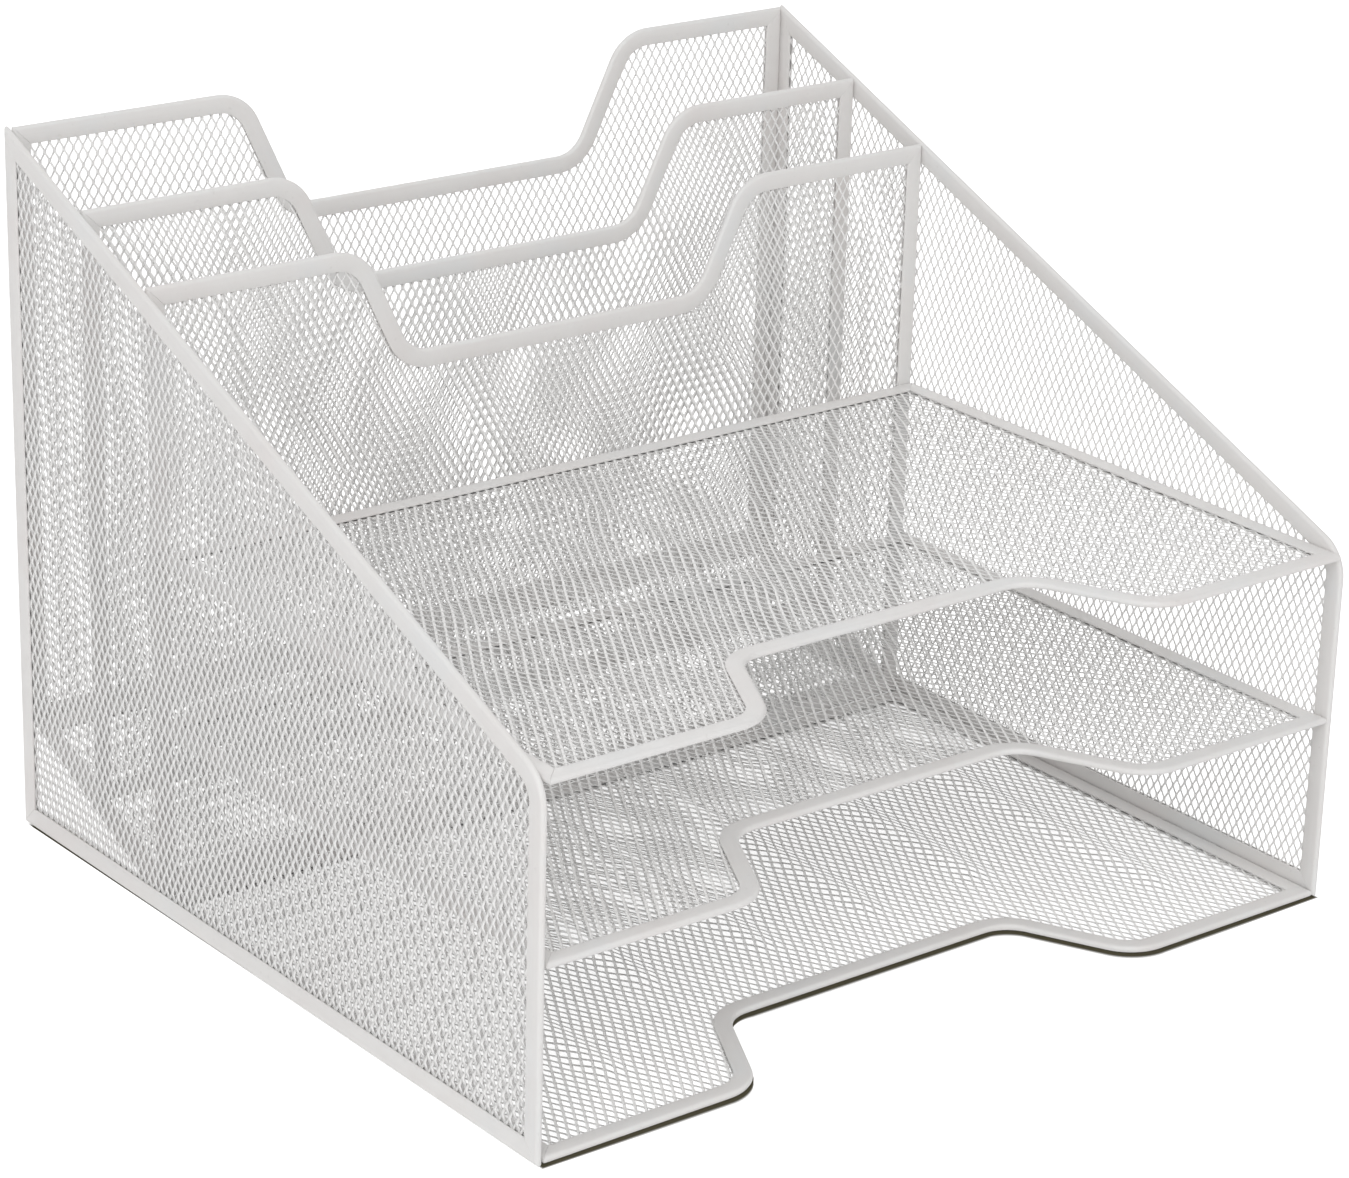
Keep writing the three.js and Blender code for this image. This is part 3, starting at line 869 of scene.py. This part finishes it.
def seen_directly(nodes):
    """1 for rays from the camera, and for those that gloss or glass sends on."""
    rays = nodes.add("ShaderNodeLightPath").outputs
    seen = nodes.math("MAXIMUM", rays["Is Camera Ray"], rays["Is Glossy Ray"])
    return nodes.math("MAXIMUM", seen, rays["Is Transmission Ray"])


def shifted(outline, reach):
    """A closed outline moved outwards, by a reach of its own for every point."""
    befores = outline[-1:] + outline[:-1]
    afters = outline[1:] + outline[:1]
    moved = []
    for before, point, after, out in zip(befores, outline, afters, reach, strict=True):
        moved.append(point - mitre_step(heading(before, point), heading(point, after)) * out)
    return moved


def resting_outline(stage):
    """The lowest strips' outline on the floor, how far the painted contact shadow reaches there, and how
    dark it is.

    The painted shadow is drawn widest in the middle of the tray's front edge, narrower towards its corners,
    and wider where the edge faces the camera. Nothing rests on the floor between the two rear corners.
    """
    low, high = cad_box
    rail = tray_runs("bottom_tray")["front_rail"]
    last = high.y - CORNER_FADE
    rear = [flat(high.x, last), flat(high.x, high.y), flat(low.x, high.y), flat(low.x, last)]
    to_camera = flat(*-CAMERA_FORWARD.xy).normalized()
    reach = []
    for before, point, after in zip(rail[:1] + rail[:-1], rail, rail[1:] + rail[-1:], strict=True):
        along = heading(before, after)
        outwards = flat(along.y, -along.x)
        from_corner = min(point.x - low.x, high.x - point.x) / stage.painted_shadow_taper
        shadow_widening = CORNER_SHARE + (1 - CORNER_SHARE) * smooth_step(from_corner)
        reach.append(max(stage.painted_shadow_sides, stage.painted_shadow_reach * shadow_widening * outwards.dot(to_camera)))
    depth = [1] * len(rail) + [1, 0, 0, 1]
    return rail + rear, reach + [stage.painted_shadow_sides] * len(rear), depth


def floor_mesh(stage):
    """A flat floor whose points carry how dark the painted contact shadow is there."""
    outline, reach, depth = resting_outline(stage)
    side = FLOOR_SIDE / 2
    corners = [flat(-side, -side), flat(side, -side), flat(side, side), flat(-side, side)]
    rings = [
        (shifted(outline, [-PAINTED_SHADOW_START] * len(outline)), [0] * len(outline)),
        (shifted(outline, [-PAINTED_SHADOW_EDGE] * len(outline)), depth),
        (shifted(outline, [PAINTED_SHADOW_CORE * out for out in reach]), depth),
        (shifted(outline, reach), [0] * len(outline)),
        (corners, [0] * len(corners)),
    ]
    points = []
    edges = []
    shade = []
    for ring, dark in rings:
        first = len(points)
        count = len(ring)
        points.extend(ring)
        shade.extend(dark)
        edges.extend((first + i, first + (i + 1) % count) for i in range(count))
    spots, _, faces, origins, _, _ = delaunay_2d_cdt(points, edges, [], 0, SAME_POINT)
    data = bpy.data.meshes.new("Studio floor")
    data.from_pydata([(p.x, p.y, -FLOOR_DROP) for p in spots], [], faces)
    crevice = data.attributes.new("crevice", "FLOAT", "POINT")
    values = [float(shade[source[0]]) if source else 0.0 for source in origins]
    crevice.data.foreach_set("value", values)
    return data


def make_floor(stage):
    data = floor_mesh(stage)
    material = bpy.data.materials.new("Studio floor")
    material.use_nodes = True
    nodes = Nodes(material.node_tree)
    # Painted shadow: rays seen directly find the floor darkened to the painted contact shadow's colour, its
    # glow taken out there
    crevice = nodes.add("ShaderNodeAttribute", attribute_name="crevice").outputs["Fac"]
    seen = seen_directly(nodes)
    depth = nodes.math("MULTIPLY", seen, nodes.ramp(crevice, 0.0, 1.0))
    shaded = nodes.mix(depth, rgba(stage.floor), rgba(stage.painted_contact_shadow))
    diffuse = nodes.add("ShaderNodeBsdfDiffuse", {"Color": shaded})
    open_floor = nodes.math("SUBTRACT", 1.0, depth)
    strength = nodes.math("MULTIPLY", seen, nodes.math("MULTIPLY", open_floor, stage.floor_glow))
    glow = nodes.add("ShaderNodeEmission", {"Strength": strength})
    both = nodes.add("ShaderNodeAddShader", {0: diffuse.outputs[0], 1: glow.outputs[0]})
    nodes.add("ShaderNodeOutputMaterial", {"Surface": both.outputs[0]})
    data.materials.append(material)
    floor = bpy.data.objects.new("Studio floor", data)
    bpy.context.scene.collection.objects.link(floor)


def make_world(stage):
    world = bpy.data.worlds.new("Studio")
    world.use_nodes = True
    nodes = Nodes(world.node_tree)
    strength = nodes.add("ShaderNodeMix", data_type="FLOAT")
    nodes.feed(strength.inputs[0], seen_directly(nodes))
    for socket, value in zip(NUMBER_SOCKETS, (stage.ambient, 1.0), strict=True):
        nodes.feed(strength.inputs[socket], value)
    background = nodes.add("ShaderNodeBackground", {"Color": (1, 1, 1, 1), "Strength": strength.outputs[0]})
    nodes.add("ShaderNodeOutputWorld", {"Surface": background.outputs[0]})
    bpy.context.scene.world = world


def make_lamp(name, watts, size, place, target):
    data = bpy.data.lights.new(name, "AREA")
    data.shape = "DISK"
    data.size = size
    data.energy = watts
    lamp = bpy.data.objects.new(name, data)
    lamp.location = place
    lamp.rotation_mode = "QUATERNION"
    lamp.rotation_quaternion = (Vector(target) - Vector(place)).to_track_quat("-Z", "Y")
    bpy.context.scene.collection.objects.link(lamp)


def make_stage():
    stage = bpy.context.scene.organizer_stage
    make_camera()
    make_floor(stage)
    make_world(stage)
    low, high = cad_box
    middle = (low + high) / 2
    for setting, (name, size, place) in LAMPS.items():
        make_lamp(name, getattr(stage, setting), size, middle + Vector(place), middle)
    bpy.context.scene.view_settings.view_transform = "Standard"


# Operators, and the panel that lists them


class ORGANIZER_OT_side_panels(Operator):
    """Make the two side panels"""

    bl_idname = "organizer.side_panels"
    bl_label = "Side panels"

    def execute(self, context):
        for prefix in ("left_side", "right_side"):
            make_side_panel(prefix)
        return {"FINISHED"}


class ORGANIZER_OT_upright_panels(Operator):
    """Make the back panel and the two dividers"""

    bl_idname = "organizer.upright_panels"
    bl_label = "Back panel and dividers"

    def execute(self, context):
        make_upright_panel("back_panel", context.scene.organizer_edge.back_shift)
        make_upright_panel("middle_divider", 0)
        make_upright_panel("front_divider", 0)
        return {"FINISHED"}


class ORGANIZER_OT_file_floor(Operator):
    """Make the sloped floor of the file slots"""

    bl_idname = "organizer.file_floor"
    bl_label = "File floor"

    def execute(self, context):
        make_file_floor("file_floor")
        return {"FINISHED"}


class ORGANIZER_OT_trays(Operator):
    """Make the three ribbed trays"""

    bl_idname = "organizer.trays"
    bl_label = "Trays"

    def execute(self, context):
        for prefix in ("bottom_tray", "middle_tray", "top_tray"):
            make_tray(prefix)
        return {"FINISHED"}


class ORGANIZER_OT_stage(Operator):
    """Make the camera, floor, background and lamps"""

    bl_idname = "organizer.stage"
    bl_label = "Stage"

    def execute(self, context):
        make_stage()
        return {"FINISHED"}


OPERATORS = (
    ORGANIZER_OT_stage,
    ORGANIZER_OT_side_panels,
    ORGANIZER_OT_upright_panels,
    ORGANIZER_OT_file_floor,
    ORGANIZER_OT_trays,
)


class ORGANIZER_PT_sidebar(Panel):
    """Sizes, colours and operators of the organizer"""

    bl_idname = "ORGANIZER_PT_sidebar"
    bl_label = "Mesh desk organizer"
    bl_space_type = "VIEW_3D"
    bl_region_type = "UI"
    bl_category = "Organizer"

    def draw(self, context):
        for operator in OPERATORS:
            self.layout.operator(operator.bl_idname)
        for name, group in GROUPS.items():
            box = self.layout.box()
            for setting in group.__annotations__:
                box.prop(getattr(context.scene, name), setting)


CLASSES = (*GROUPS.values(), *OPERATORS, ORGANIZER_PT_sidebar)


def register():
    for cls in CLASSES:
        bpy.utils.register_class(cls)
    for name, group in GROUPS.items():
        setattr(bpy.types.Scene, name, PointerProperty(type=group))


def unregister():
    for name in GROUPS:
        delattr(bpy.types.Scene, name)
    for cls in reversed(CLASSES):
        bpy.utils.unregister_class(cls)


def main():
    register()
    for operator in OPERATORS:
        group, name = operator.bl_idname.split(".")
        getattr(getattr(bpy.ops, group), name)()


if __name__ == "__main__":
    main()
